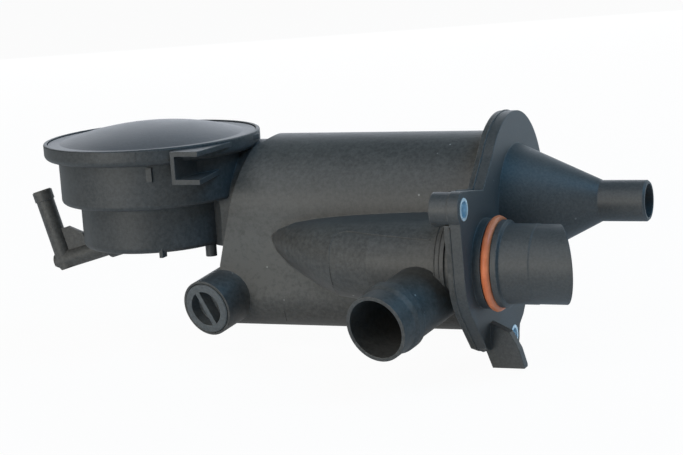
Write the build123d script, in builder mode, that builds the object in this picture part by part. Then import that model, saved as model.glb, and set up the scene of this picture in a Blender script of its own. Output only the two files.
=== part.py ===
"""Oil separator can of an engine's crankcase breather: a moulded tank with a side conduit, a welded
front cover with its spigots, and a drum at the far end that houses the pressure valve.
Millimetres. Origin: axis of the sealed spigot where it leaves the cover's mounting face.
+X runs out along that spigot, +Z is up (the drum's lid faces up), -Y faces the viewer of the photo."""

import os
from math import cos, radians, sin, sqrt

from build123d import *

os.makedirs("parts", exist_ok=True)

# Tank: two circles and their common tangents make the section
wall = 2.5
tank_y, tank_z, tank_r = 44.45, 17.1, 29.1
sump_y, sump_z, sump_r = 31.2, -19.45, 15.3
tank_end_x, tank_end_z = -125.3, -6.0
tank_top_x, tank_top_z = -112.3, 42.5
bevel_x, bevel_z = -100.7, 50.3
front_y = tank_y - tank_r

# Mounting face and the joint between tank and cover
face_x = 0.0
seam_x = -4.6
rim_back_x = -6.8
disc_r = 37.3
spigot_field_r = 26.0
upper_bolt = (-22.49, 25.85)
lower_bolt = (30.57, -36.98)
lug_r, bolt_boss_r = 7.0, 6.7
lug_depth = 12.0
bush_r, bush_bore_r = 4.5, 3.3
hub_r, hub_x, hub_w = 19.0, -15.4, 4.2

# Sealed spigot
spigot_r, spigot_bore_r = 15.95, 13.6
spigot_land_r = 18.0
gland_x, gland_w, gland_r = 3.4, 3.9, 15.6
collar_w, collar_r = 2.3, 17.4
seat_end_x, spigot_tip_r = 22.0, 15.75
spigot_end_x, spigot_slant = 31.7, 28.0
ring_r, ring_wire = 17.3, 1.7

# Cone and outlet tube
cone_base_r, cone_base_z, cone_len = 25.5, 15.6, 36.2
outlet_r, outlet_bore_r, outlet_end_x = 8.4, 6.9, 55.4
cone_wall = 2.2
outlet_chamfer = 0.8
fin_y, fin_t = 4.7, 4.4

# Side conduit: sections (X, Y, Z, radius) from the flange to its nose on the tank's front wall
run = [
    (rim_back_x, 0.0, 0.0, 18.5), (-45.0, 1.5, 0.05, 17.0), (-63.0, 4.0, 0.45, 15.6),
    (-72.0, 5.95, 1.7, 13.6), (-80.0, 8.4, 3.0, 11.4), (-88.7, 11.4, 4.2, 8.7),
    (-95.5, 13.8, 5.3, 5.0), (-99.6, 16.3, 6.2, 1.6),
]
conduit_wall = 2.3
run_inner_y = 24.0
slot_x, slot_z, slot_w, slot_h = -80.0, 3.5, 18.0, 14.0

# Hose spigot and drain boss point the same way
tilt = Vector(-0.2236, -0.9595, -0.1712).normalized()
hose_root = Vector(-19.4, 0.2, -8.25)
hose_len = 48.0
hose_neck_r, hose_bead_r, hose_lip_r, hose_bore_r = 13.1, 14.3, 13.4, 11.9
bead_start, bead_w, bead_fall = 34.5, 4.0, 2.0
boss_face = Vector(-127.45, 4.5, -22.27)
boss_r, boss_len, boss_bore_r = 12.2, 24.0, 8.5
plug_proud, plug_head_r, plug_head_t, plug_gap = 0.7, 10.9, 2.6, 0.3
plug_shank_r, plug_shank_len = 8.3, 10.0
plug_recess_r, plug_recess_depth, grip_w = 7.65, 5.0, 2.2
plug_turn0 = 155.5
seal_bore_r, seal_depth = 10.1, 2.0
seal_r, seal_wire = 9.2, 0.85

# Drum: two tiers, rim and the seats inside its rim
drum_x, drum_y = -159.6, 28.4
floor_z, step_z, rim_z, top_z = 2.3, 22.2, 41.8, 48.7
low_r, high_r, rim_r = 33.2, 41.1, 47.0
low_round, high_round, rim_round, top_round = 2.5, 2.0, 2.5, 0.5
drum_wall = 2.2
lid_seat_z = top_z - 3.5
lid_r = rim_r - 1.6
web_seat_r, web_t = lid_r - 2.0, 1.2
lid_gap, lid_edge_t, lid_flat_r, lid_rise = 0.3, 3.0, 40.0, 6.3
neck_step, neck_x, neck_y, neck_r = 2.4, -116.0, 37.0, 20.8
neck_floor_z, neck_roof_z = 2.0, 50.0
seat_r, seat_bore_r, seat_top_z, duct_z, duct_turn = 8.5, 6.5, 31.7, 12.6, 20.0
spring_ledge_r, spring_ledge_z = 15.5, 26.2
stud_at, stud_r, stud_drop = (-131.0, 20.0), 2.4, 5.0
tab_at, rib_at = (-144.3, 1.2, 2.5), (-142.2, -8.2, 37.4)

# Rail: a channel beside the rim, open away from the drum; it leans back along Y
rail_front_y, rail_x, rail_lean, rail_len = -12.0, -130.2, 0.12, 47.0
rail_bottom_z, rail_top_z, rail_wall, rail_flange_t = 33.7, 47.5, 1.8, 2.1
rail_top_edge = ((-117.6, -12.0), (-112.2, 36.9))
rail_low_edge = ((-117.3, -12.0), (-124.0, 36.9))

# Valve
pad_z, pad_t, pad_r = 34.2, 1.5, 9.5
retainer_r, retainer_t = 15.5, 1.5
web_z, web_mid_t, web_mid_r = 37.2, 0.8, 24.0
fold_r = high_r - drum_wall - 0.8
plate_r, plate_t, plate_floor_t, plate_rim_t = 22.0, 2.0, 0.8, 1.6
plate_hub_r, rib_count, rib_t = 6.0, 6, 1.2
coil_r, coil_wire, coil_turns = 12.4, 0.55, 3.5

# Gas tube through the rear wall and the baffle across the tank
tube_r, tube_bore_r, tube_start_x, tube_end_x = 11.0, 9.4, -123.0, -57.0
tube_collar_r, tube_collar_x, tube_collar_w = 13.0, -109.0, 2.0
baffle_x, baffle_t = -34.0, 2.0
baffle_bore_r, baffle_hole_r, baffle_ring_r, baffle_holes = 8.0, 4.0, 17.5, 8

# Elbow
elbow_corner = Vector(-208.7, drum_y, -7.32)
elbow_tilt, elbow_r, elbow_bore_r = 16.0, 4.0, 2.4
elbow_up, elbow_arm, elbow_cut = 32.9, 31.0, 3.65
elbow_bead_r, elbow_bead_w, elbow_lip = 4.45, 4.4, 0.4
gusset_t = 2.0
socket_start, socket_len, socket_wall = 24.5, 7.0, 1.4


def along(point, direction, x_dir=None):
    """Plane at a point that faces along a direction."""
    return Plane(origin=point, x_dir=x_dir or (1, 0, 0), z_dir=direction)


def tank_section(x, inset):
    """The tank's outline at X, drawn in by an inset."""
    with BuildSketch(Plane.YZ.offset(x), mode=Mode.PRIVATE) as section:
        with Locations((tank_y, tank_z)):
            Circle(tank_r - inset)
        with Locations((sump_y, sump_z)):
            Circle(sump_r - inset)
        make_hull()
    return section.sketch


def end_profile(shift):
    """Side view of everything to the right of the tank's leaning end wall."""
    with BuildSketch(Plane.XZ.offset(-120), mode=Mode.PRIVATE) as profile:
        with BuildLine():
            Polyline(
                (tank_end_x + shift, -80),
                (tank_end_x + shift, tank_end_z),
                (tank_top_x + shift, tank_top_z),
                (bevel_x + shift, bevel_z),
                (bevel_x + shift + 6, bevel_z + 30),
                (20, bevel_z + 30),
                (20, -80),
                close=True,
            )
        make_face()
    return profile.sketch


def conduit(inset, start_x):
    """The conduit's body, lofted through round-ended sections drawn in by an inset."""
    with BuildPart(mode=Mode.PRIVATE) as body:
        for i, (x, y, z, r) in enumerate(run):
            if r - inset < 1.0:
                continue
            with BuildSketch(Plane.YZ.offset(start_x if i == 0 else x)):
                with Locations(((y + run_inner_y) / 2, z)):
                    SlotCenterToCenter(run_inner_y - y, 2 * (r - inset))
        loft(ruled=True)
    return body.part


def cover_outline(x, lugs):
    """Outline of the mounting flange, with its two bolt lugs where asked."""
    with BuildSketch(Plane.YZ.offset(x), mode=Mode.PRIVATE) as outline:
        with Locations((tank_y, tank_z)):
            Circle(disc_r)
        Circle(spigot_field_r)
        with BuildLine():
            Polyline(
                (-25.95, 1.12), (-27.33, 21.08), (-20.12, 32.53), (2.01, 29.09), (15.9, 41.0),
                (tank_y, tank_z), (68.7, -5.67), (44.08, -30.92), (37.2, -34.76), (25.35, -39.16),
                (4.26, -37.08), (-4.35, -33.77), (-19.94, -16.69), close=True,
            )
        make_face()
        if lugs:
            with Locations(upper_bolt, lower_bolt):
                Circle(lug_r)
            with BuildLine():
                Polyline(
                    (lower_bolt[0] + lug_r, lower_bolt[1]), (40.05, -30.16), (20.67, -19.31),
                    (11.27, -37.14), (lower_bolt[0] - 3.4, lower_bolt[1] - 6.1), close=True,
                )
            make_face()
    return outline.sketch


# Tank shell with its rear wall, side conduit, hose spigot, drain boss and weld flange: one moulding
with BuildPart() as tank_block:
    extrude(tank_section(tank_end_x, 0), amount=seam_x - tank_end_x, dir=(1, 0, 0))
    extrude(end_profile(0), amount=240, mode=Mode.INTERSECT, dir=(0, -1, 0))

with BuildPart() as tank_void:
    extrude(tank_section(tank_end_x, wall), amount=seam_x - tank_end_x + 1, dir=(1, 0, 0))
    extrude(end_profile(wall), amount=240, mode=Mode.INTERSECT, dir=(0, -1, 0))

with BuildPart() as conduit_void:
    add(conduit(conduit_wall, seam_x + 1))
    with Locations((-50, front_y - 50, 0)):
        Box(140, 100, 100, mode=Mode.INTERSECT)

side = tilt.cross(Vector(0, 0, 1)).normalized()
hose_plane = along(hose_root, tilt, side)
boss_plane = along(boss_face, -tilt, side)
with BuildPart() as separator_tank:
    add(tank_block.part)
    add(conduit(0, seam_x))
    with BuildSketch(Plane.YZ.offset(hub_x)):
        with Locations((run_inner_y / 2, 0)):
            SlotCenterToCenter(run_inner_y, 2 * hub_r)
    extrude(amount=hub_w)
    extrude(cover_outline(rim_back_x, False), amount=seam_x - rim_back_x, dir=(1, 0, 0))
    with BuildSketch(hose_plane):
        Circle(hose_neck_r)
    extrude(amount=hose_len)
    with BuildSketch(hose_plane.offset(bead_start + bead_w + bead_fall - 1)):
        Circle(hose_lip_r)
    extrude(amount=hose_len - bead_start - bead_w - bead_fall + 1)
    with BuildSketch(hose_plane.offset(bead_start)):
        Circle(hose_bead_r)
    extrude(amount=bead_w)
    with BuildSketch(hose_plane.offset(bead_start + bead_w)):
        Circle(hose_bead_r)
    with BuildSketch(hose_plane.offset(bead_start + bead_w + bead_fall)):
        Circle(hose_lip_r)
    loft()
    with BuildSketch(boss_plane):
        Circle(boss_r)
    extrude(amount=boss_len)
    add(tank_void.part, mode=Mode.SUBTRACT)
    add(conduit_void.part, mode=Mode.SUBTRACT)
    with BuildSketch(hose_plane):
        Circle(hose_bore_r)
    extrude(amount=hose_len + 1, mode=Mode.SUBTRACT)
    with BuildSketch(boss_plane.offset(-1)):
        Circle(boss_bore_r)
    extrude(amount=boss_len - 1.2, mode=Mode.SUBTRACT)
    with BuildSketch(boss_plane.offset(-1)):
        Circle(seal_bore_r)
    extrude(amount=plug_head_t - plug_proud + seal_depth + 1, mode=Mode.SUBTRACT)
    with BuildSketch(boss_plane.offset(-1)):
        Circle(plug_head_r + plug_gap)
    extrude(amount=plug_head_t - plug_proud + 1, mode=Mode.SUBTRACT)
    # gas enters the tank through a slot near the conduit's nose
    with Locations((slot_x, front_y + wall / 2, slot_z)):
        Box(slot_w, wall + 6, slot_h, mode=Mode.SUBTRACT)
    # port for the gas tube in the rear wall
    with BuildSketch(Plane.YZ.offset(tank_end_x - 5)):
        with Locations((tank_y, tank_z)):
            Circle(tube_r)
    extrude(amount=30, mode=Mode.SUBTRACT)
    # relief around the cover's bolt bosses
    for y, z in (upper_bolt, lower_bolt):
        with BuildSketch(Plane.YZ.offset(-lug_depth - 1)):
            with Locations((y, z)):
                Circle(lug_r + 0.3)
        extrude(amount=lug_depth + 1, mode=Mode.SUBTRACT)

# Sealed spigot: land, gland for the ring, collar and a plain tube with a slanted end
with BuildPart() as spigot:
    with BuildSketch(Plane.XZ):
        with BuildLine():
            Polyline(
                (seam_x + 1, 0), (seam_x + 1, spigot_land_r), (gland_x, spigot_land_r),
                (gland_x, gland_r), (gland_x + gland_w, gland_r), (gland_x + gland_w, collar_r),
                (gland_x + gland_w + collar_w, collar_r),
                (gland_x + gland_w + collar_w + 0.7, spigot_r), (seat_end_x, spigot_r),
                (seat_end_x + 0.5, spigot_tip_r), (46, spigot_tip_r), (46, 0), close=True,
            )
        make_face()
    revolve(axis=Axis.X)
    slant = Vector(cos(radians(spigot_slant)), sin(radians(spigot_slant)), 0)
    with BuildSketch(along((spigot_end_x, 0, 0), slant, (0, 0, 1))):
        Circle(40)
    extrude(amount=40, mode=Mode.SUBTRACT)

# Front cover: flange, bolt bosses, sealed spigot, cone with outlet tube and fin, one moulding
with BuildPart() as front_cover:
    extrude(cover_outline(seam_x, True), amount=face_x - seam_x, dir=(1, 0, 0))
    with BuildSketch(Plane.YZ.offset(-lug_depth)):
        with Locations(upper_bolt, lower_bolt):
            Circle(bolt_boss_r)
    extrude(amount=lug_depth + seam_x + 1)
    add(spigot.part)
    with BuildSketch(Plane.YZ):
        with Locations((tank_y, cone_base_z)):
            Circle(cone_base_r)
    with BuildSketch(Plane.YZ.offset(cone_len)):
        with Locations((tank_y, tank_z)):
            Circle(outlet_r)
    loft()
    with BuildSketch(Plane.YZ.offset(cone_len)):
        with Locations((tank_y, tank_z)):
            Circle(outlet_r)
    extrude(amount=outlet_end_x - cone_len - outlet_chamfer)
    with BuildSketch(Plane.YZ.offset(outlet_end_x - outlet_chamfer)):
        with Locations((tank_y, tank_z)):
            Circle(outlet_r)
    extrude(amount=outlet_chamfer, taper=40)
    with BuildSketch(Plane.XZ.offset(-fin_y)):
        with BuildLine():
            Polyline(
                (-2.9, -33.5), (-0.5, -24.0), (8.1, -28.1), (11.7, -35.0), (13.5, -41.6),
                (13.5, -42.7), (0.3, -42.7), close=True,
            )
        make_face()
    extrude(amount=fin_t)
    # bores
    with BuildSketch(Plane.YZ.offset(seam_x - 1)):
        Circle(spigot_bore_r)
    extrude(amount=60, mode=Mode.SUBTRACT)
    with BuildSketch(Plane.YZ.offset(seam_x)):
        with Locations((tank_y, cone_base_z)):
            Circle(cone_base_r - cone_wall)
    with BuildSketch(Plane.YZ.offset(cone_len)):
        with Locations((tank_y, tank_z)):
            Circle(outlet_bore_r)
    loft(mode=Mode.SUBTRACT)
    with BuildSketch(Plane.YZ.offset(cone_len - 0.5)):
        with Locations((tank_y, tank_z)):
            Circle(outlet_bore_r)
    extrude(amount=30, mode=Mode.SUBTRACT)
    with BuildSketch(Plane.YZ.offset(-lug_depth - 1)):
        with Locations(upper_bolt, lower_bolt):
            Circle(bush_r)
    extrude(amount=lug_depth + 2, mode=Mode.SUBTRACT)

# Orange seal ring in the spigot's gland
with BuildPart() as spigot_o_ring:
    with BuildSketch(Plane.XZ):
        with Locations((gland_x + gland_w / 2, ring_r)):
            Circle(ring_wire)
    revolve(axis=Axis.X)


def bush(at):
    """Steel sleeve that takes a bolt's clamp load."""
    with BuildPart() as sleeve:
        with BuildSketch(Plane.YZ.offset(-lug_depth)):
            with Locations(at):
                Circle(bush_r)
                Circle(bush_bore_r, mode=Mode.SUBTRACT)
        extrude(amount=lug_depth + 0.2)
    return sleeve.part


bush_upper = bush(upper_bolt)
bush_lower = bush(lower_bolt)

# Drum with neck, rim, rail, seat tube and duct: one moulding, welded to the tank's rear wall
drum_at = (drum_x, drum_y)
drum_axis = Axis((drum_x, drum_y, 0), (0, 0, 1))


def neck(inset):
    """The short neck between drum and tank, drawn in by an inset."""
    with BuildPart(mode=Mode.PRIVATE) as body:
        extrude(tank_section(-148, neck_step + inset), amount=60, dir=(1, 0, 0))
        with BuildSketch(Plane.XY.offset(neck_floor_z + inset), mode=Mode.PRIVATE) as plan:
            with Locations((neck_x, neck_y)):
                Circle(neck_r - inset)
        height = neck_roof_z - neck_floor_z - 2 * inset
        extrude(plan.sketch, amount=height, mode=Mode.INTERSECT, dir=(0, 0, 1))
    return body.part


def rail_plan(points):
    """Flat outline of one wall of the rail."""
    with BuildSketch(Plane.XY, mode=Mode.PRIVATE) as plan:
        with BuildLine():
            Polyline(*points, close=True)
        make_face()
    return plan.sketch


with BuildPart() as valve_housing:
    add(neck(0))
    add(neck(drum_wall), mode=Mode.SUBTRACT)
    with BuildSketch(Plane.XZ.offset(-drum_y)) as tiers:
        with BuildLine():
            Polyline(
                (drum_x, floor_z), (drum_x + low_r, floor_z), (drum_x + low_r, step_z),
                (drum_x + high_r, step_z), (drum_x + high_r, rim_z), (drum_x + rim_r, rim_z),
                (drum_x + rim_r, top_z), (drum_x, top_z), close=True,
            )
        make_face()
        for r, z, size in (
            (low_r, floor_z, low_round), (high_r, step_z, high_round),
            (rim_r, rim_z, rim_round), (rim_r, top_z, top_round),
        ):
            fillet(tiers.vertices().sort_by_distance((drum_x + r, z))[0], radius=size)
    revolve(axis=drum_axis)
    # rail: an upright wall with a wide flange above and a tapering one below
    run_y = rail_front_y + rail_len
    run_x = rail_x + rail_lean * rail_len
    upright = rail_plan([
        (rail_x, rail_front_y), (rail_x + rail_wall, rail_front_y), (run_x + rail_wall, run_y),
        (run_x, run_y),
    ])
    upper = rail_plan([(rail_x, rail_front_y), rail_top_edge[0], rail_top_edge[1], (run_x, run_y)])
    lower = rail_plan([(rail_x, rail_front_y), rail_low_edge[0], rail_low_edge[1], (run_x, run_y)])
    for flat, low, high in (
        (upright, rail_bottom_z, rail_top_z),
        (upper, rail_top_z - rail_flange_t, rail_top_z),
        (lower, rail_bottom_z, rail_bottom_z + rail_flange_t),
    ):
        extrude(Pos(0, 0, low) * flat, amount=high - low, dir=(0, 0, 1))
    extrude(end_profile(0), amount=240, mode=Mode.SUBTRACT, dir=(0, -1, 0))
    # marks on the outside: a rib on the upper tier, a tab and a stud under the floor
    with Locations(rib_at):
        Box(2.6, 2.4, 6.0)
    with Locations(tab_at):
        Box(1.6, 4.0, 4.2)
    with BuildSketch(Plane.XY.offset(floor_z - stud_drop)):
        with Locations(stud_at):
            Circle(stud_r)
    extrude(amount=stud_drop + 1.7)
    # socket for the elbow's arm
    arm = Vector(cos(radians(elbow_tilt)), 0, sin(radians(elbow_tilt)))
    with BuildSketch(along(elbow_corner + arm * socket_start, arm, (0, 1, 0))):
        Circle(elbow_r + socket_wall)
    extrude(amount=socket_len)
    # insides
    with BuildSketch(Plane.XY.offset(floor_z + drum_wall)):
        with Locations(drum_at):
            Circle(low_r - drum_wall)
    extrude(amount=step_z - floor_z, mode=Mode.SUBTRACT)
    with BuildSketch(Plane.XY.offset(step_z + drum_wall)):
        with Locations(drum_at):
            Circle(high_r - drum_wall)
    extrude(amount=top_z - step_z, mode=Mode.SUBTRACT)
    with BuildSketch(Plane.XY.offset(lid_seat_z - web_t)):
        with Locations(drum_at):
            Circle(web_seat_r)
    extrude(amount=10, mode=Mode.SUBTRACT)
    with BuildSketch(Plane.XY.offset(lid_seat_z)):
        with Locations(drum_at):
            Circle(lid_r)
    extrude(amount=10, mode=Mode.SUBTRACT)
    # seat tube, its ledge for the spring and the duct from the neck
    with BuildSketch(Plane.XY.offset(floor_z + drum_wall - 0.5)):
        with Locations(drum_at):
            Circle(seat_r)
    extrude(amount=seat_top_z - floor_z - drum_wall + 0.5)
    with BuildSketch(Plane.XY.offset(spring_ledge_z - 1.8)):
        with Locations(drum_at):
            Circle(spring_ledge_r)
    extrude(amount=1.8)
    duct_dir = Vector(cos(radians(duct_turn)), sin(radians(duct_turn)), 0)
    duct_from = Vector(drum_x, drum_y, duct_z)
    with BuildSketch(along(duct_from, duct_dir, (0, 0, 1))):
        Circle(seat_r)
    extrude(amount=low_r - 1)
    with BuildSketch(along(duct_from, duct_dir, (0, 0, 1))):
        Circle(seat_bore_r)
    extrude(amount=low_r + 3, mode=Mode.SUBTRACT)
    with BuildSketch(Plane.XY.offset(duct_z - seat_bore_r)):
        with Locations(drum_at):
            Circle(seat_bore_r)
    extrude(amount=30, mode=Mode.SUBTRACT)
    with BuildSketch(along(elbow_corner, arm, (0, 1, 0))):
        Circle(elbow_r)
    extrude(amount=45, mode=Mode.SUBTRACT)

def halfway(half, rise):
    """Height, at half its half-width, of a round dome that rises from its edge."""
    r = (half**2 + rise**2) / (2 * rise)
    return rise - r + sqrt(r * r - half * half / 4)


# Lid of the drum: flat edge and a broad low dome, pressed into the rim
lid_shell = 2.2
with BuildPart() as valve_cover:
    with BuildSketch(Plane.XZ.offset(-drum_y)):
        with BuildLine():
            flat_z = lid_seat_z + lid_edge_t
            inner_r, inner_rise = lid_flat_r - 2, lid_edge_t + lid_rise - lid_shell
            Line((drum_x, lid_seat_z + inner_rise), (drum_x, flat_z + lid_rise))
            ThreePointArc(
                (drum_x, flat_z + lid_rise),
                (drum_x + lid_flat_r / 2, flat_z + halfway(lid_flat_r, lid_rise)),
                (drum_x + lid_flat_r, flat_z),
            )
            Polyline(
                (drum_x + lid_flat_r, flat_z), (drum_x + lid_r - lid_gap, flat_z),
                (drum_x + lid_r - lid_gap, lid_seat_z), (drum_x + inner_r, lid_seat_z),
            )
            ThreePointArc(
                (drum_x + inner_r, lid_seat_z),
                (drum_x + inner_r / 2, lid_seat_z + halfway(inner_r, inner_rise)),
                (drum_x, lid_seat_z + inner_rise),
            )
        make_face()
    revolve(axis=drum_axis)

# Valve: rubber web, stiff plate above it, retainer and sealing pad below, spring
with BuildPart() as diaphragm:
    with BuildSketch(Plane.XZ.offset(-drum_y)):
        with BuildLine():
            Polyline(
                (drum_x, web_z), (drum_x + web_mid_r, web_z), (drum_x + 27, web_z + 1.6),
                (drum_x + fold_r - 3.0, web_z + 5.4), (drum_x + fold_r, lid_seat_z - web_t),
                (drum_x + web_seat_r - 0.1, lid_seat_z - web_t),
                (drum_x + web_seat_r - 0.1, lid_seat_z), (drum_x + fold_r - 0.7, lid_seat_z),
                (drum_x + fold_r - 3.6, web_z + 6.2), (drum_x + 26.6, web_z + 2.5),
                (drum_x + web_mid_r - 0.4, web_z + web_mid_t), (drum_x, web_z + web_mid_t),
                close=True,
            )
        make_face()
    revolve(axis=drum_axis)

with BuildPart() as diaphragm_plate:
    with BuildSketch(Plane.XY.offset(web_z + web_mid_t)):
        with Locations(drum_at):
            Circle(plate_r)
    extrude(amount=plate_t)
    with BuildSketch(Plane.XY.offset(web_z + web_mid_t + plate_floor_t)):
        with Locations(drum_at):
            Circle(plate_r - plate_rim_t)
            Circle(plate_hub_r, mode=Mode.SUBTRACT)
    extrude(amount=plate_t, mode=Mode.SUBTRACT)
    with BuildSketch(Plane.XY.offset(web_z + web_mid_t + plate_floor_t)):
        with Locations(drum_at):
            with PolarLocations((plate_r - plate_rim_t + plate_hub_r) / 2, rib_count):
                Rectangle(plate_r - plate_rim_t - plate_hub_r + 1, rib_t)
    extrude(amount=plate_t - plate_floor_t)

with BuildPart() as diaphragm_retainer:
    with BuildSketch(Plane.XY.offset(web_z - retainer_t)):
        with Locations(drum_at):
            Circle(retainer_r)
    extrude(amount=retainer_t)

with BuildPart() as valve_pad:
    with BuildSketch(Plane.XY.offset(pad_z)):
        with Locations(drum_at):
            Circle(pad_r)
    extrude(amount=pad_t)

with BuildPart() as valve_spring:
    coil_h = pad_z + pad_t - spring_ledge_z - 2 * coil_wire
    with BuildLine(Plane.XY.offset(spring_ledge_z + coil_wire).move(Location((drum_x, drum_y, 0)))):
        coil = Helix(pitch=coil_h / coil_turns, height=coil_h, radius=coil_r)
    with BuildSketch(Plane(origin=coil @ 0, z_dir=coil % 0)):
        Circle(coil_wire)
    sweep(is_frenet=True)

# Gas tube through the rear wall and a perforated baffle across the tank
with BuildPart() as vortex_tube:
    with BuildSketch(Plane.YZ.offset(tube_start_x)):
        with Locations((tank_y, tank_z)):
            Circle(tube_r)
    extrude(amount=tube_end_x - tube_start_x)
    with BuildSketch(Plane.YZ.offset(tube_collar_x)):
        with Locations((tank_y, tank_z)):
            Circle(tube_collar_r)
    extrude(amount=tube_collar_w)
    with BuildSketch(Plane.YZ.offset(tube_start_x - 1)):
        with Locations((tank_y, tank_z)):
            Circle(tube_bore_r)
    extrude(amount=tube_end_x - tube_start_x + 2, mode=Mode.SUBTRACT)
    extrude(end_profile(0), amount=240, mode=Mode.INTERSECT, dir=(0, -1, 0))

with BuildPart() as baffle_plate:
    extrude(tank_section(baffle_x, wall), amount=baffle_t, dir=(1, 0, 0))
    with BuildSketch(Plane.YZ.offset(baffle_x - 1)):
        with Locations((tank_y, tank_z)):
            Circle(baffle_bore_r)
            with PolarLocations(baffle_ring_r, baffle_holes):
                Circle(baffle_hole_r)
    extrude(amount=baffle_t + 2, mode=Mode.SUBTRACT)

# Drain plug and its seal
plug_face = boss_face + tilt * plug_proud
grip_dir = side * cos(radians(plug_turn0)) + side.cross(tilt) * sin(radians(plug_turn0))
plug_plane = along(plug_face, -tilt, grip_dir)
with BuildPart() as drain_plug:
    with BuildSketch(plug_plane):
        Circle(plug_head_r)
    extrude(amount=plug_head_t)
    with BuildSketch(plug_plane):
        Circle(plug_shank_r)
    extrude(amount=plug_head_t + plug_shank_len)
    chamfer(drain_plug.edges().filter_by(GeomType.CIRCLE).sort_by(SortBy.RADIUS)[-2:], length=0.5)
    with BuildSketch(plug_plane):
        Circle(plug_recess_r)
        Rectangle(grip_w, 3 * plug_recess_r, mode=Mode.SUBTRACT)
    extrude(amount=plug_recess_depth, mode=Mode.SUBTRACT)

with BuildPart() as drain_plug_seal:
    seal_at = plug_face - tilt * (plug_head_t + seal_depth / 2)
    with BuildSketch(Plane(origin=seal_at, x_dir=side, z_dir=side.cross(tilt))):
        with Locations((seal_r, 0)):
            Circle(seal_wire)
    revolve(axis=Axis(seal_at, tilt))

# Elbow: two round limbs, a web in the corner and a beaded end
up = Vector(-sin(radians(elbow_tilt)), 0, cos(radians(elbow_tilt)))
corner = elbow_corner
with BuildPart() as vent_elbow:
    with BuildSketch(along(corner - up * (elbow_r - 0.1), up, (0, 1, 0))):
        Circle(elbow_r)
    extrude(amount=elbow_up + elbow_r - 0.1)
    with BuildSketch(along(corner - arm * (elbow_r - 0.1), arm, (0, 1, 0))):
        Circle(elbow_r)
    extrude(amount=elbow_arm + elbow_r - 0.1)
    with BuildSketch(along(corner - (arm + up).normalized() * elbow_cut, -(arm + up), (0, 1, 0))):
        Circle(12)
    extrude(amount=8, mode=Mode.SUBTRACT)
    with BuildSketch(along(corner + up * (elbow_up - elbow_bead_w - elbow_lip), up, (0, 1, 0))):
        Circle(elbow_bead_r)
    extrude(amount=elbow_bead_w)
    with BuildSketch(Plane.XZ.offset(-drum_y - gusset_t / 2)):
        with BuildLine():
            p = [corner, corner + up * 14.5, Vector(-207.7, 0, 7.4), Vector(-205.6, 0, 8.1),
                 Vector(-198.2, 0, 5.3), corner + arm * 14]
            Polyline(*[(q.X, q.Z) for q in p], close=True)
        make_face()
    extrude(amount=gusset_t)
    with BuildSketch(along(corner, up, (0, 1, 0))):
        Circle(elbow_bore_r)
    extrude(amount=elbow_up + 1, mode=Mode.SUBTRACT)
    with BuildSketch(along(corner, arm, (0, 1, 0))):
        Circle(elbow_bore_r)
    extrude(amount=elbow_arm + 1, mode=Mode.SUBTRACT)
    with Locations(corner):
        Sphere(elbow_bore_r, mode=Mode.SUBTRACT)

separator_tank.part.label = "separator_tank"
export_step(separator_tank.part, "parts/separator_tank.step")
front_cover.part.label = "front_cover"
export_step(front_cover.part, "parts/front_cover.step")
spigot_o_ring.part.label = "spigot_o_ring"
export_step(spigot_o_ring.part, "parts/spigot_o_ring.step")
bush_upper.label = "bush_upper"
export_step(bush_upper, "parts/bush_upper.step")
bush_lower.label = "bush_lower"
export_step(bush_lower, "parts/bush_lower.step")
valve_housing.part.label = "valve_housing"
export_step(valve_housing.part, "parts/valve_housing.step")
valve_cover.part.label = "valve_cover"
export_step(valve_cover.part, "parts/valve_cover.step")
diaphragm.part.label = "diaphragm"
export_step(diaphragm.part, "parts/diaphragm.step")
diaphragm_plate.part.label = "diaphragm_plate"
export_step(diaphragm_plate.part, "parts/diaphragm_plate.step")
diaphragm_retainer.part.label = "diaphragm_retainer"
export_step(diaphragm_retainer.part, "parts/diaphragm_retainer.step")
valve_pad.part.label = "valve_pad"
export_step(valve_pad.part, "parts/valve_pad.step")
valve_spring.part.label = "valve_spring"
export_step(valve_spring.part, "parts/valve_spring.step")
vortex_tube.part.label = "vortex_tube"
export_step(vortex_tube.part, "parts/vortex_tube.step")
baffle_plate.part.label = "baffle_plate"
export_step(baffle_plate.part, "parts/baffle_plate.step")
drain_plug.part.label = "drain_plug"
export_step(drain_plug.part, "parts/drain_plug.step")
drain_plug_seal.part.label = "drain_plug_seal"
export_step(drain_plug_seal.part, "parts/drain_plug_seal.step")
vent_elbow.part.label = "vent_elbow"
export_step(vent_elbow.part, "parts/vent_elbow.step")
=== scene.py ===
"""Oil separator can of an engine's crankcase breather: the looks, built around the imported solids.

Lengths are in metres. The points of the parting lines and the camera's sensor are in millimetres.
"""

from math import cos, hypot, pi, radians, sin

import bmesh
import bpy
from mathutils import Matrix, Vector
from mathutils.bvhtree import BVHTree


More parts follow.
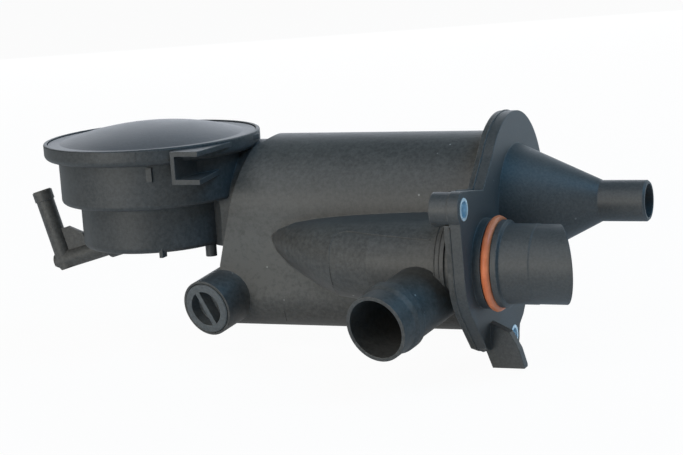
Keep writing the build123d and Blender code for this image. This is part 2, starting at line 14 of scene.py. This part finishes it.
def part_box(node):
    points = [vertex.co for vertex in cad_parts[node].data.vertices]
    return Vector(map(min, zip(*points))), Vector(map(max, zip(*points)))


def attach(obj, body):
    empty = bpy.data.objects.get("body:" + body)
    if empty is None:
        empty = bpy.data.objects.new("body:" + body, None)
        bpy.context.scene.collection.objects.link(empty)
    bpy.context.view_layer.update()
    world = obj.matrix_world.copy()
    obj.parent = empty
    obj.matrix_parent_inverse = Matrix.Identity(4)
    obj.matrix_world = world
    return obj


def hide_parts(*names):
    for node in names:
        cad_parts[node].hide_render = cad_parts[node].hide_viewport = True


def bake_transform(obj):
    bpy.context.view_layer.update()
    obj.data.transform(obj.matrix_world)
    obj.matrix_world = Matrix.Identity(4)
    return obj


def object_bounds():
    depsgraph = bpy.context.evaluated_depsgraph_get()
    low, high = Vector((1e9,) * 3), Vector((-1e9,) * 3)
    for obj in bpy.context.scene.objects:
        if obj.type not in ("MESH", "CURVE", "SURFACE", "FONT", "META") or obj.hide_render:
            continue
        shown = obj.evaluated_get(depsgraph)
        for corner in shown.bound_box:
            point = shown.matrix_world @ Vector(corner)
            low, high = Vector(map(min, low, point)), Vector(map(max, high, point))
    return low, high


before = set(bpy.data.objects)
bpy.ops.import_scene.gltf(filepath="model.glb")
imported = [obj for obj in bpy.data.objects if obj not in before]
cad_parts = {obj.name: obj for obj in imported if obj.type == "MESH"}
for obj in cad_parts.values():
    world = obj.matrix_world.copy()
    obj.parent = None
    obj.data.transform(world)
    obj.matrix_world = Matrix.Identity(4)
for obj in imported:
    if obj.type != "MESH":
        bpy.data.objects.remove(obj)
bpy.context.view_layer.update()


# Tank with its side conduit
# One injection moulding in black glass-filled nylon: tank, conduit, hose spigot, drain boss and the
# flange on which the front cover is welded. The glass shows as a fine pale mottling in the skin.
class Wire:
    """A socket of a material's node tree. Operators on it add Math nodes."""

    def __init__(self, tree, socket=None):
        self.tree, self.socket = tree, socket

    def node(self, kind, settings, inputs, out=0):
        """Adds a node: first its settings, then the values or wires of its sockets."""
        made = self.tree.nodes.new(kind)
        for key, value in settings.items():
            if key == "stops":
                ramp = made.color_ramp.elements
                while len(ramp) < len(value):
                    ramp.new(0.5)
                for stop, (place, grey) in zip(ramp, value):
                    stop.position, stop.color = place, (grey, grey, grey, 1)
            else:
                setattr(made, key, value)
        for key, value in inputs.items():
            if isinstance(value, Wire):
                self.tree.links.new(value.socket, made.inputs[key])
            else:
                made.inputs[key].default_value = value
        return Wire(self.tree, made.outputs[out])

    def maths(self, operation, *values):
        return self.node("ShaderNodeMath", {"operation": operation}, dict(enumerate(values)))

    def __add__(self, other):
        return self.maths("ADD", self, other)

    def __sub__(self, other):
        return self.maths("SUBTRACT", self, other)

    def __rsub__(self, other):
        return self.maths("SUBTRACT", other, self)

    def __mul__(self, other):
        return self.maths("MULTIPLY", self, other)

    __radd__, __rmul__ = __add__, __mul__

    def noise(self, scale, detail=3.0, roughness=0.5):
        """Fractal noise at this place, with so many cells a metre."""
        return self.node(
            "ShaderNodeTexNoise", {},
            {"Vector": self, "Scale": scale, "Detail": detail, "Roughness": roughness},
        )

    def along(self, axis):
        """How far this vector reaches along another."""
        return self.node(
            "ShaderNodeVectorMath", {"operation": "DOT_PRODUCT"}, {0: self, 1: axis}, out="Value"
        )

    def ramp(self, *stops):
        """Grey that follows this value through stops of place and grey."""
        return self.node("ShaderNodeValToRGB", {"stops": stops}, {"Fac": self})

    def between(self, first, second):
        """Colour that goes from the first to the second as this value goes from 0 to 1."""
        first, second = (c if isinstance(c, Wire) else (*c, 1) for c in (first, second))
        return self.node("ShaderNodeMix", {"data_type": "RGBA"}, {0: self, 6: first, 7: second}, out=2)

    def feed(self, shader, name):
        """Leads this wire into a socket of a shader."""
        self.tree.links.new(self.socket, shader.inputs[name])


def new_finish(name):
    """A new material, its shader, and the place on the piece that its patterns follow."""
    material = bpy.data.materials.new(name)
    material.use_nodes = True
    tree = material.node_tree
    place = Wire(tree).node("ShaderNodeTexCoord", {}, {}, out="Object")
    return material, tree.nodes["Principled BSDF"], place


# Patterns in the nylon's skin, in cells a metre, with the glass specks' colour, the grain's depth, and
# how much paler than the skin the painted highlight along an edge is
cloud_scale, mottle_scale, grain_scale, speck_scale = 38.0, 620.0, 1700.0, 85.0
speck_colour = (0.42, 0.42, 0.41)
grain_depth = 0.00010
edge_highlight_paler = 1.9

# Where painted light makes the tank's flat walls paler: how far along toward the drum, how far down
# from a level near the can's top, with how pale they are there, and how far back from the origin
wall_start, wall_full = 0.058, 0.104
wall_level, wall_depths = 0.05, ((0.028, 0.35), (0.046, 1.0), (0.066, 1.0), (0.074, 0.1))
wall_front, wall_back = 0.0140, 0.0154


def painted_wall_light(place):
    """Mask of painted light on the flat walls low at the drum's end, standing in for the light that falls
    more on them there.
    """
    end = place.along((-1, 0, 0)).ramp((wall_start, 0.0), (wall_full, 1.0))
    low = (place.along((0, 0, -1)) + wall_level).ramp(*wall_depths)
    flat = place.along((0, 1, 0)).ramp((wall_front, 0.0), (wall_back, 1.0))
    patches = place.noise(330.0, 2.0, 0.6).ramp((0.38, 0.0), (0.6, 1.0))
    return end * low * flat * (patches * 0.6 + 0.5)


def plastic(name, dark, light, roughness=0.5, edge=0.0006, specks=1.0, mottling=mottle_scale, walls=0.0):
    """Matt moulded nylon: mottled skin, a few pale glass specks, eroded grain, a painted highlight along
    soft edges, and painted light on flat walls when walls is set.
    """
    material, shader, place = new_finish(name)
    cloud = place.noise(cloud_scale, 3.0, 0.55).ramp((0.3, 0.0), (0.7, 1.0))
    mottle = place.noise(mottling, 3.0, 0.7).ramp((0.34, 0.0), (0.66, 1.0))
    grain = place.noise(grain_scale, 2.0)
    cell = place.node(
        "ShaderNodeTexVoronoi", {"feature": "F1"}, {"Vector": place, "Scale": speck_scale}, out="Distance"
    )
    glass = cell.ramp((0.0, 1.0), (0.028, 1.0), (0.045, 0.0))
    soft = place.node("ShaderNodeBevel", {"samples": 6}, {"Radius": edge})
    flat = place.node("ShaderNodeNewGeometry", {}, {}, out="Normal")
    # Painted highlight: every soft edge, found where the rounded normal leaves the flat one, is made paler
    edge_highlight = (1.0 - soft.along(flat)).ramp((0.01, 0.0), (0.16, 1.0)) * (mottle * 0.6 + 0.4)
    tone = cloud * 0.20 + mottle * 0.50 + grain * 0.25
    # Painted light: the tank's flat walls low at the drum's end are made paler
    if walls:
        tone = tone + painted_wall_light(place) * walls
    skin = tone.between(dark, light)
    highlit_skin = (edge_highlight * 0.55).between(skin, tuple(edge_highlight_paler * c for c in light))
    (glass * (0.55 * specks)).between(highlit_skin, speck_colour).feed(shader, "Base Color")
    (cloud * 0.05 + mottle * 0.06 + (roughness - 0.05)).feed(shader, "Roughness")
    relief = {"Strength": 0.4, "Distance": grain_depth, "Height": grain * 0.6 + mottle * 0.4, "Normal": soft}
    place.node("ShaderNodeBump", {}, relief).feed(shader, "Normal")
    shader.inputs["Specular IOR Level"].default_value = 0.42
    return material


def finish(node, material):
    """Gives a solid of the frame its material."""
    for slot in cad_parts[node].material_slots:
        slot.material = material


def surface(node):
    """The skin of a solid, ready for rays."""
    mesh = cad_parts[node].data
    return BVHTree.FromPolygons([v.co for v in mesh.vertices], [p.vertices for p in mesh.polygons])


def on_skin(skin, starts, direction):
    """The points where rays from the starts meet a skin."""
    hits = [skin.ray_cast(start, direction)[0] for start in starts]
    return [hit for hit in hits if hit]


bead_sides, bead_step, swell_scale = 8, 0.0008, 260.0


def bead_tree():
    """Node tree that turns a line into a round bead: its radius, step, unevenness and material."""
    tree = bpy.data.node_groups.new("bead", "GeometryNodeTree")
    for name, kind in (
        ("Line", "Geometry"), ("Radius", "Float"), ("Step", "Float"), ("Unevenness", "Float"),
        ("Material", "Material"),
    ):
        tree.interface.new_socket(name, in_out="INPUT", socket_type="NodeSocket" + kind)
    tree.interface.new_socket("Bead", in_out="OUTPUT", socket_type="NodeSocketGeometry")
    made = {}
    for key, kind in (
        ("in", "NodeGroupInput"), ("curve", "GeometryNodeMeshToCurve"),
        ("even", "GeometryNodeResampleCurve"), ("ring", "GeometryNodeCurvePrimitiveCircle"),
        ("tube", "GeometryNodeCurveToMesh"), ("noise", "ShaderNodeTexNoise"),
        ("centre", "ShaderNodeMath"), ("swell", "ShaderNodeMath"),
        ("normal", "GeometryNodeInputNormal"), ("offset", "ShaderNodeVectorMath"),
        ("shift", "GeometryNodeSetPosition"), ("real", "GeometryNodeRealizeInstances"),
        ("paint", "GeometryNodeSetMaterial"), ("out", "NodeGroupOutput"),
    ):
        made[key] = tree.nodes.new(kind)
    made["even"].mode = "LENGTH"
    made["ring"].inputs["Resolution"].default_value = bead_sides
    made["tube"].inputs["Fill Caps"].default_value = True
    made["noise"].inputs["Scale"].default_value = swell_scale
    made["centre"].operation = "SUBTRACT"
    made["centre"].inputs[1].default_value = 0.5
    made["swell"].operation = "MULTIPLY"
    made["offset"].operation = "SCALE"
    for start, out, end, into in (
        ("in", "Line", "curve", "Mesh"), ("curve", "Curve", "even", "Curve"),
        ("in", "Step", "even", "Length"), ("even", "Curve", "tube", "Curve"),
        ("in", "Radius", "ring", "Radius"), ("ring", "Curve", "tube", "Profile Curve"),
        ("tube", "Mesh", "shift", "Geometry"), ("noise", 0, "centre", 0),
        ("centre", 0, "swell", 0), ("in", "Unevenness", "swell", 1),
        ("normal", "Normal", "offset", 0), ("swell", 0, "offset", "Scale"),
        ("offset", "Vector", "shift", "Offset"), ("shift", "Geometry", "real", "Geometry"),
        ("real", "Geometry", "paint", "Geometry"), ("in", "Material", "paint", "Material"),
        ("paint", "Geometry", "out", "Bead"),
    ):
        tree.links.new(made[start].outputs[out], made[end].inputs[into])
    return tree


bead_nodes = bead_tree()


def bead(name, lines, radius, material, body="can", uneven=0.0, closed=False):
    """Fine raised bead along lines of points on a body's skin."""
    points, edges = [], []
    for line in lines:
        first = len(points)
        points += [Vector(p) for p in line]
        edges += [(i, i + 1) for i in range(first, len(points) - 1)]
        if closed:
            edges.append((len(points) - 1, first))
    mesh = bpy.data.meshes.new(name + "_line")
    mesh.from_pydata(points, edges, [])
    line = bpy.data.objects.new(name + "_line", mesh)
    bpy.context.scene.collection.objects.link(line)
    modifier = line.modifiers.new("bead", "NODES")
    modifier.node_group = bead_nodes
    values = {"Radius": radius, "Step": bead_step, "Unevenness": uneven, "Material": material}
    for item in bead_nodes.interface.items_tree:
        if item.in_out == "INPUT" and item.name in values:
            modifier[item.identifier] = values[item.name]
    bpy.context.view_layer.update()
    shaped = line.evaluated_get(bpy.context.evaluated_depsgraph_get())
    tube = bpy.data.meshes.new_from_object(shaped)
    line.modifiers.remove(modifier)
    bpy.data.objects.remove(line)
    tube.shade_smooth()
    piece = bpy.data.objects.new(name, tube)
    bpy.context.scene.collection.objects.link(piece)
    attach(piece, body)


nylon_dark, nylon_light = (0.026, 0.026, 0.026), (0.094, 0.093, 0.089)
body_nylon = plastic("body_nylon", nylon_dark, nylon_light)
# The tank's nylon carries painted light on its flat walls low at the drum's end
tank_nylon = plastic("tank_nylon", nylon_dark, nylon_light, walls=0.62)
finish("separator_tank", tank_nylon)
tank_skin = surface("separator_tank")

# Parting lines of the mould: round the conduit's nose, along its top, and low on the tank's end. They
# are drawn as X and Z in millimetres, and pressed on the tank's skin from in front of it.
in_front = -0.12
nose_x, nose_low_z = -62.6, -8.0
top_x, top_z = -54.0, 13.7
end_x, end_z = -97.2, -25.0
conduit_line = [(nose_x, nose_low_z + 2.0 * i) for i in range(9)]
conduit_line += [(-62.0, 10.6), (-60.9, 12.1), (-59.0, 13.1), (-56.5, 13.6)]
conduit_line += [(top_x + 3.0 * i, top_z - 0.15 * i) for i in range(13)]
low_line = [(end_x - 0.2 * i, end_z - 0.9 * i) for i in range(8)]
parting = []
for drawn in (conduit_line, low_line):
    starts = [Vector((x / 1000, in_front, z / 1000)) for x, z in drawn]
    parting.append(on_skin(tank_skin, starts, Vector((0, 1, 0))))
bead("tank_parting_lines", parting, radius=0.00028, material=tank_nylon)

# Two fine rings round the conduit, just before its collar, from below its front to near its top
conduit_r, outside_conduit = 0.0192, 0.06
ring_first, ring_step, ring_points = -14.0, 3.6, 26
collar_rings = []
for ring_x in (-0.0151, -0.0132):
    ring = []
    for i in range(ring_points):
        angle = radians(ring_step * i + ring_first)
        out = Vector((0, -cos(angle), sin(angle)))
        hit = tank_skin.ray_cast(Vector((ring_x, 0, 0)) + out * outside_conduit, -out)[0]
        if hit and hypot(hit.y, hit.z) < conduit_r:
            ring.append(hit)
    collar_rings.append(ring)
bead("collar_rings", collar_rings, radius=0.00032, material=tank_nylon)

# Front cover
# Second moulding, hot-plate welded to the tank's flange: two bolt lugs, the sealed spigot, the cone with
# its outlet tube and a locating fin. The weld leaves a thin bead of squeezed-out nylon round the joint.
cover_nylon = plastic(
    "cover_nylon", (0.034, 0.036, 0.038), (0.084, 0.085, 0.084), specks=0.5, mottling=1000.0
)
finish("front_cover", cover_nylon)
weld_x, weld_points = -0.0046, 240
flange_middle = Vector((-0.0056, 0.018, 0.002))
flange_least_r, outside_flange = 0.02, 0.15
weld_line = []
for i in range(weld_points):
    angle = 2 * pi * i / weld_points
    out = Vector((0, cos(angle), sin(angle)))
    edge = tank_skin.ray_cast(flange_middle + out * outside_flange, -out)[0]
    if edge and (edge - flange_middle).length > flange_least_r:
        weld_line.append(Vector((weld_x, edge.y, edge.z)))
bead("weld_bead", [weld_line], radius=0.00042, material=body_nylon, uneven=0.00022, closed=True)

# Seal ring
# Moulded orange rubber ring, stretched into the spigot's gland. A parting line runs round its middle.
ring_rubber, shader, place = new_finish("ring_rubber")
dust = place.noise(260.0).ramp((0.35, 0.0), (0.7, 1.0))
fleck = place.noise(1500.0, 2.0)
shade = dust * 0.7 + fleck * 0.3
shade.between((0.68, 0.165, 0.060), (0.86, 0.25, 0.105)).feed(shader, "Base Color")
(dust * 0.12 + 0.40).feed(shader, "Roughness")
relief = {"Strength": 0.25, "Distance": 0.00008, "Height": fleck}
place.node("ShaderNodeBump", {}, relief).feed(shader, "Normal")
finish("spigot_o_ring", ring_rubber)
seal_low, seal_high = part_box("spigot_o_ring")
seal_x, seal_r = (seal_low[0] + seal_high[0]) / 2, (seal_high[2] - seal_low[2]) / 2
seal_points = 120
seal_angles = [2 * pi * i / seal_points for i in range(seal_points)]
seal_line = [(seal_x, seal_r * cos(angle), seal_r * sin(angle)) for angle in seal_angles]
bead(
    "ring_parting_line", [seal_line], radius=0.00010, material=ring_rubber, closed=True
)

# Bolt sleeves
# Rolled steel sleeves, zinc plated, moulded into the cover's lugs so that the bolts clamp on steel.
zinc, shader, place = new_finish("zinc_plate")
spangle = place.noise(700.0, 2.0).ramp((0.3, 0.0), (0.7, 1.0))
scratch = place.noise(2600.0, 2.0)
spangle.between((0.62, 0.80, 0.92), (0.80, 0.93, 1.0)).feed(shader, "Base Color")
(spangle * 0.14 + scratch * 0.1 + 0.36).feed(shader, "Roughness")
shader.inputs["Metallic"].default_value = 1.0
for name in ("bush_upper", "bush_lower"):
    finish(name, zinc)

# Drum
# Third moulding, welded to the tank's rear wall: two tiers, a wide rim, a channel rail for a bracket,
# the valve's seat tube and the duct that feeds it. The mould's split shows on the rim's side.
# The drum's nylon is bluer and darker than the tank's: bluer as moulded, and darker partly in its own tone
# and partly as painted shade for the shadow on its right half
drum_nylon = plastic(
    "drum_nylon", (0.018, 0.020, 0.021), (0.068, 0.071, 0.073), edge=0.0005, specks=0.4
)
finish("valve_housing", drum_nylon)
lid_low, lid_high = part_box("valve_cover")
drum_x, drum_y = (lid_low[0] + lid_high[0]) / 2, (lid_low[1] + lid_high[1]) / 2

# The split runs up the rim's side at two places, given in degrees round the drum
split_turns = (-70.7, 118.0)
split_low_z, split_step, split_points, outside_drum = 0.0432, 0.00038, 14, 0.08
drum_skin = surface("valve_housing")
split_lines = []
for turn in split_turns:
    out = Vector((cos(radians(turn)), sin(radians(turn)), 0))
    heights = [split_low_z + split_step * i for i in range(split_points)]
    starts = [Vector((drum_x, drum_y, z)) + out * outside_drum for z in heights]
    split_lines.append(on_skin(drum_skin, starts, -out))
bead("rim_split_lines", split_lines, radius=0.00014, material=drum_nylon)

# Lid
# Snap-in disc with a broad low dome, moulded smoother than the body, so it shines a little on top.
lid_nylon = plastic(
    "lid_nylon", (0.034, 0.037, 0.042), (0.080, 0.085, 0.092), roughness=0.46, edge=0.0004, specks=0.3
)
finish("valve_cover", lid_nylon)

# Valve inside the drum
# Rubber web with a stiff plate on top, a retainer and a soft pad below, held up by a wire spring. The
# web and the spring bend as the valve moves; here copies of their solids, with doubled points merged, stand
# in for them and stay still.
rubber, shader, place = new_finish("black_rubber_web")
bloom = place.noise(180.0).ramp((0.35, 0.0), (0.7, 1.0))
bloom.between((0.022, 0.022, 0.023), (0.045, 0.045, 0.046)).feed(shader, "Base Color")
(bloom * 0.1 + 0.58).feed(shader, "Roughness")
spring_wire, shader, place = new_finish("spring_wire")
drawn = place.noise(900.0).ramp((0.35, 0.0), (0.7, 1.0))
drawn.between((0.36, 0.36, 0.37), (0.56, 0.56, 0.57)).feed(shader, "Base Color")
(drawn * 0.12 + 0.26).feed(shader, "Roughness")
shader.inputs["Metallic"].default_value = 1.0
finish("valve_pad", rubber)
for name in ("diaphragm_plate", "diaphragm_retainer"):
    finish(name, lid_nylon)
merge_gap = 0.000002


def stretcher(name, node, material):
    """A soft part of the valve: a copy of its solid with doubled points merged, which stands in for it and
    stays still.
    """
    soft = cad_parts[node].data.copy()
    soft.name = name
    work = bmesh.new()
    work.from_mesh(soft)
    bmesh.ops.remove_doubles(work, verts=work.verts, dist=merge_gap)
    work.to_mesh(soft)
    work.free()
    soft.materials.clear()
    soft.materials.append(material)
    piece = bpy.data.objects.new(name, soft)
    bpy.context.scene.collection.objects.link(piece)
    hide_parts(node)
    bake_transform(piece)


# The web is held at the rim and moves at the plates. The spring stands still on its ledge, and its top
# coil moves. Their pieces here don't follow these moves.
stretcher("rolling_web", "diaphragm", rubber)
stretcher("valve_coil", "valve_spring", spring_wire)

# Vent elbow
# Small nylon pipe with a beaded end, pushed into a socket under the drum's lower tier.
finish("vent_elbow", body_nylon)

# Drain plug and seal
# Dark grey nylon plug, screwed into the boss by the bar across its recess. A rubber ring under the head
# keeps the oil in, and a low thread runs round the shank.
plug_nylon = plastic(
    "plug_nylon", (0.050, 0.055, 0.058), (0.125, 0.134, 0.138), edge=0.0004, specks=0.3
)
finish("drain_plug", plug_nylon)
finish("drain_plug_seal", rubber)

# The thread starts a little way in from the plug's face, along the axis on which the boss points out
boss_out = Vector((-0.2236, -0.9595, -0.1712)).normalized()
boss_end, plug_proud = Vector((-0.12745, 0.0045, -0.02227)), 0.0007
plug_face = boss_end + boss_out * plug_proud
across = boss_out.cross(Vector((0, 0, 1))).normalized()
upright = across.cross(boss_out)
shank_r, thread_start, thread_pitch, thread_turns, turn_points = 0.0083, 0.0045, 0.003, 2.6, 48
thread = []
for i in range(int(turn_points * thread_turns)):
    angle = 2 * pi * i / turn_points
    depth = thread_start + thread_pitch * i / turn_points
    thread.append(plug_face - boss_out * depth + (across * cos(angle) + upright * sin(angle)) * shank_r)
bead("plug_thread", [thread], radius=0.00016, material=plug_nylon, body="plug")

# Gas tube and baffle inside the tank
# Nylon tube glued through the rear wall and a pierced plate across the tank that catches droplets.
for name in ("vortex_tube", "baffle_plate"):
    finish(name, body_nylon)

# Studio
# White paper floor in a white room, and five square soft lights: a low one in front, a weaker one above
# it, a cool one from the right and two from behind. The camera stands where the photograph was taken.
low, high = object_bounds()
middle = (low + high) / 2
floor_half, floor_gap = 6.0, 0.0005
paper, shader, place = new_finish("white_paper")
shader.inputs["Base Color"].default_value = (0.86, 0.86, 0.86, 1)
shader.inputs["Roughness"].default_value = 0.9
shader.inputs["Specular IOR Level"].default_value = 0.0

# The paper glows white over its shaded self, almost wholly to the camera and a little in reflections
camera_share, mirror_share = 0.96, 0.28
direct = place.node("ShaderNodeLightPath", {}, {}, out="Is Camera Ray")
mirrored = place.node("ShaderNodeLightPath", {}, {}, out="Is Glossy Ray")
tree = place.tree
glow = tree.nodes.new("ShaderNodeEmission")
glow.inputs["Strength"].default_value = 1.0
mixer = tree.nodes.new("ShaderNodeMixShader")
direct.maths("MAXIMUM", direct * camera_share, mirrored * mirror_share).feed(mixer, 0)
tree.links.new(shader.outputs[0], mixer.inputs[1])
tree.links.new(glow.outputs[0], mixer.inputs[2])
tree.links.new(mixer.outputs[0], tree.nodes["Material Output"].inputs["Surface"])

floor_mesh = bpy.data.meshes.new("floor")
work = bmesh.new()
bmesh.ops.create_grid(work, x_segments=1, y_segments=1, size=floor_half)
bmesh.ops.translate(work, verts=work.verts, vec=(middle.x, middle.y, low.z - floor_gap))
work.to_mesh(floor_mesh)
work.free()
floor_mesh.materials.append(paper)
floor = bpy.data.objects.new("floor", floor_mesh)
bpy.context.scene.collection.objects.link(floor)

world = bpy.data.worlds.new("room")
bpy.context.scene.world = world
world.use_nodes = True
tree = world.node_tree
room = tree.nodes["Background"]
room.inputs["Color"].default_value = (0.86, 1.0, 0.96, 1)
room.inputs["Strength"].default_value = 0.12
white = tree.nodes.new("ShaderNodeBackground")
white.inputs["Color"].default_value = (1, 1, 1, 1)
mixer = tree.nodes.new("ShaderNodeMixShader")
Wire(tree).node("ShaderNodeLightPath", {}, {}, out="Is Camera Ray").feed(mixer, 0)
tree.links.new(room.outputs[0], mixer.inputs[1])
tree.links.new(white.outputs[0], mixer.inputs[2])
tree.links.new(mixer.outputs[0], tree.nodes["World Output"].inputs["Surface"])

lamp_reach = 1.5


def lamp(name, azimuth, elevation, size, watts, colour):
    """Square soft light, aimed at the object's middle, at an angle round it and above it."""
    data = bpy.data.lights.new(name, "AREA")
    data.shape, data.size, data.energy, data.color = "SQUARE", size, watts, colour
    a, e = radians(azimuth), radians(elevation)
    away = Vector((sin(a) * cos(e), -cos(a) * cos(e), sin(e)))
    light = bpy.data.objects.new(name, data)
    light.location = middle + away * lamp_reach
    light.rotation_euler = away.to_track_quat("Z", "Y").to_euler()
    bpy.context.scene.collection.objects.link(light)


lamp("front", azimuth=-20, elevation=3, size=0.8, watts=14.0, colour=(1.0, 0.97, 0.89))
lamp("high", azimuth=-20, elevation=45, size=0.8, watts=6.1, colour=(0.95, 0.97, 1.0))
lamp("right", azimuth=90, elevation=50, size=0.8, watts=10.5, colour=(0.22, 0.60, 1.0))
lamp("back", azimuth=150, elevation=18, size=1.2, watts=6.2, colour=(0.85, 0.94, 1.0))
lamp("far_back", azimuth=205, elevation=14, size=1.2, watts=9.6, colour=(0.88, 0.92, 1.0))

# Camera, found from the photograph's circles: 23 degrees round, 10 up and rolled by 4. The frame's
# origin lies at a pixel of the photograph, at so many pixels a millimetre.
around, up_angle, roll = radians(23.2458), radians(10.4111), radians(4.0135)
photo_w, photo_h, focal_pixels = 683.0, 455.0, 2000.0
origin_pixel_x, origin_pixel_y, pixels_per_mm = 486.0, 263.3, 2.53
reach = focal_pixels / pixels_per_mm / 1000
back = Vector((sin(around) * cos(up_angle), -cos(around) * cos(up_angle), sin(up_angle)))
level = Vector((cos(around), sin(around), 0))
rise = back.cross(level)
right = level * cos(roll) - rise * sin(roll)
upward = level * sin(roll) + rise * cos(roll)
aside = (origin_pixel_x - photo_w / 2) / focal_pixels * reach
above = (photo_h / 2 - origin_pixel_y) / focal_pixels * reach
eye = back * reach - right * aside - upward * above
lens = bpy.data.cameras.new("camera")
lens.sensor_width = 36.0
lens.lens = focal_pixels / photo_w * lens.sensor_width
lens.clip_start, lens.clip_end = 0.01, 50.0
camera = bpy.data.objects.new("camera", lens)
camera.matrix_world = Matrix.Translation(eye) @ Matrix((right, upward, back)).transposed().to_4x4()
bpy.context.scene.collection.objects.link(camera)
bpy.context.scene.camera = camera
bpy.context.scene.view_settings.view_transform = "Standard"
